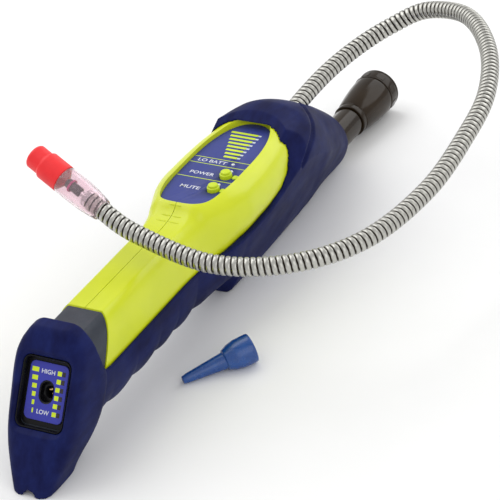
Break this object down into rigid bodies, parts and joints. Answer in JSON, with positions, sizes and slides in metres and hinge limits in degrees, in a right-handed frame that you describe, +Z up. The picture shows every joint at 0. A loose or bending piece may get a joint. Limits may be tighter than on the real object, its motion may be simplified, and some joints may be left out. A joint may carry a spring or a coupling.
{
  "type": "portable gas detector",
  "caption": "Handheld gas leak detector with a stay-put gooseneck probe, rubber boot, push buttons, a clipped-in flashlight and a loose probe nozzle.",
  "frame": {"origin": "on the ground plane, on the mid-plane, under the flashlight pocket at the boot's flat underside", "axes": "+Z up, +Y back along the body towards the flashlight, -Y towards the nose, +X to the instrument's side that carries the buttons"},
  "size_m": [0.1922, 0.4006, 0.1158],
  "materials": {
    "lime": "satin moulded",
    "navy": "matte moulded",
    "slate": "fine texture",
    "label": "printed film",
    "black": "moulded",
    "led": "clear lens",
    "board": "solder mask",
    "brass": "bright",
    "steel": "ground",
    "cell": "printed wrap",
    "clear": "clear moulded",
    "red": "soft moulded",
    "grey": "sintered",
    "torch": "black anodised",
    "mirror": "polished",
    "glass": "clear",
    "nozzle": "smooth moulded"
  },
  "bodies": {
    "instrument": {"housing_left": "lime", "housing_right": "lime", "housing_screw_1": "steel", "housing_screw_2": "steel", "end_cap": "slate", "level_label": "label", "level_led_strip": "led", "jack_socket": "black", "jack_contact": "brass", "display_panel": "label", "low_battery_lamp": "led", "power_lamp": "led", "mute_lamp": "led", "power_switch": "black", "mute_switch": "black", "circuit_board": "board", "display_led_bar": "led", "microcontroller": "black", "sounder": "black", "battery_cell_1": "cell", "battery_cell_2": "cell", "battery_cell_3": "cell", "battery_cell_4": "cell", "rear_contact_plate": "steel", "front_contact_plate": "steel", "protective_boot": "navy", "neck_anchor": "steel"},
    "power_button": {"power_button": "lime"},
    "mute_button": {"mute_button": "lime"},
    "neck_link_1": {"neck_segment_1": "steel"},
    "neck_link_2": {"neck_segment_2": "steel"},
    "neck_link_3": {"neck_segment_3": "steel"},
    "neck_link_4": {"neck_segment_4": "steel"},
    "neck_link_5": {"neck_segment_5": "steel"},
    "neck_link_6": {"neck_segment_6": "steel", "sensor_sleeve": "clear", "sensor_socket": "brass", "sensor_element": "grey"},
    "probe_cap": {"sensor_cap": "red", "cap_filter": "grey"},
    "flashlight": {"flashlight_barrel": "torch", "flashlight_tail_cap": "torch", "flashlight_cell_1": "cell", "flashlight_cell_2": "cell", "flashlight_bulb": "glass"},
    "flashlight_head": {"flashlight_head": "torch", "flashlight_face_cap": "torch", "flashlight_lens": "glass", "flashlight_reflector": "mirror"},
    "nozzle": {"probe_nozzle": "nozzle"}
  },
  "joints": [
    {"name": "power_press", "type": "slide", "parent": "instrument", "child": "power_button", "axis": [0, 0, -1], "range_m": [0, 0.0008], "stiffness_N_per_m": 800, "springref_m": -0.0002},
    {"name": "mute_press", "type": "slide", "parent": "instrument", "child": "mute_button", "axis": [0, 0, -1], "range_m": [0, 0.0008], "stiffness_N_per_m": 800, "springref_m": -0.0002},
    {"name": "neck_swing_1", "type": "hinge", "parent": "instrument", "child": "neck_link_1", "pos_m": [0.00089, 0.05957, 0.05753], "axis": [0, 0, 1], "range_deg": [-12, 18]},
    {"name": "neck_tilt_1", "type": "hinge", "parent": "neck_link_1", "child": "neck_link_2", "pos_m": [0.03744, 0.12844, 0.07807], "axis": [0.2571, -0.9664, 0], "range_deg": [-18, 0]},
    {"name": "neck_swing_2", "type": "hinge", "parent": "neck_link_2", "child": "neck_link_3", "pos_m": [0.10245, 0.08416, 0.09059], "axis": [0, 0, 1], "range_deg": [-8, 18]},
    {"name": "neck_tilt_2", "type": "hinge", "parent": "neck_link_3", "child": "neck_link_4", "pos_m": [0.12499, 0.00431, 0.08204], "axis": [-0.9994, -0.0352, 0], "range_deg": [0, 18]},
    {"name": "neck_swing_3", "type": "hinge", "parent": "neck_link_4", "child": "neck_link_5", "pos_m": [0.11667, -0.07902, 0.0736], "axis": [0, 0, 1], "range_deg": [-18, 18]},
    {"name": "neck_tilt_3", "type": "hinge", "parent": "neck_link_5", "child": "neck_link_6", "pos_m": [0.05783, -0.13484, 0.07301], "axis": [-0.2596, 0.9657, 0], "range_deg": [-3, 18]},
    {"name": "cap_pull", "type": "slide", "parent": "neck_link_6", "child": "probe_cap", "axis": [-0.893, 0.188, 0.409], "range_m": [0, 0.03]},
    {"name": "flashlight_pull", "type": "slide", "parent": "instrument", "child": "flashlight", "axis": [0, 1, 0], "range_m": [0, 0.1]},
    {"name": "flashlight_focus", "type": "hinge", "parent": "flashlight", "child": "flashlight_head", "pos_m": [0, 0.11, 0.0133], "axis": [0, 1, 0], "range_deg": [0, 180]},
    {"name": "nozzle_lift", "type": "slide", "parent": "instrument", "child": "nozzle", "axis": [0, 0, 1], "range_m": [0, 0.05]}
  ]
}
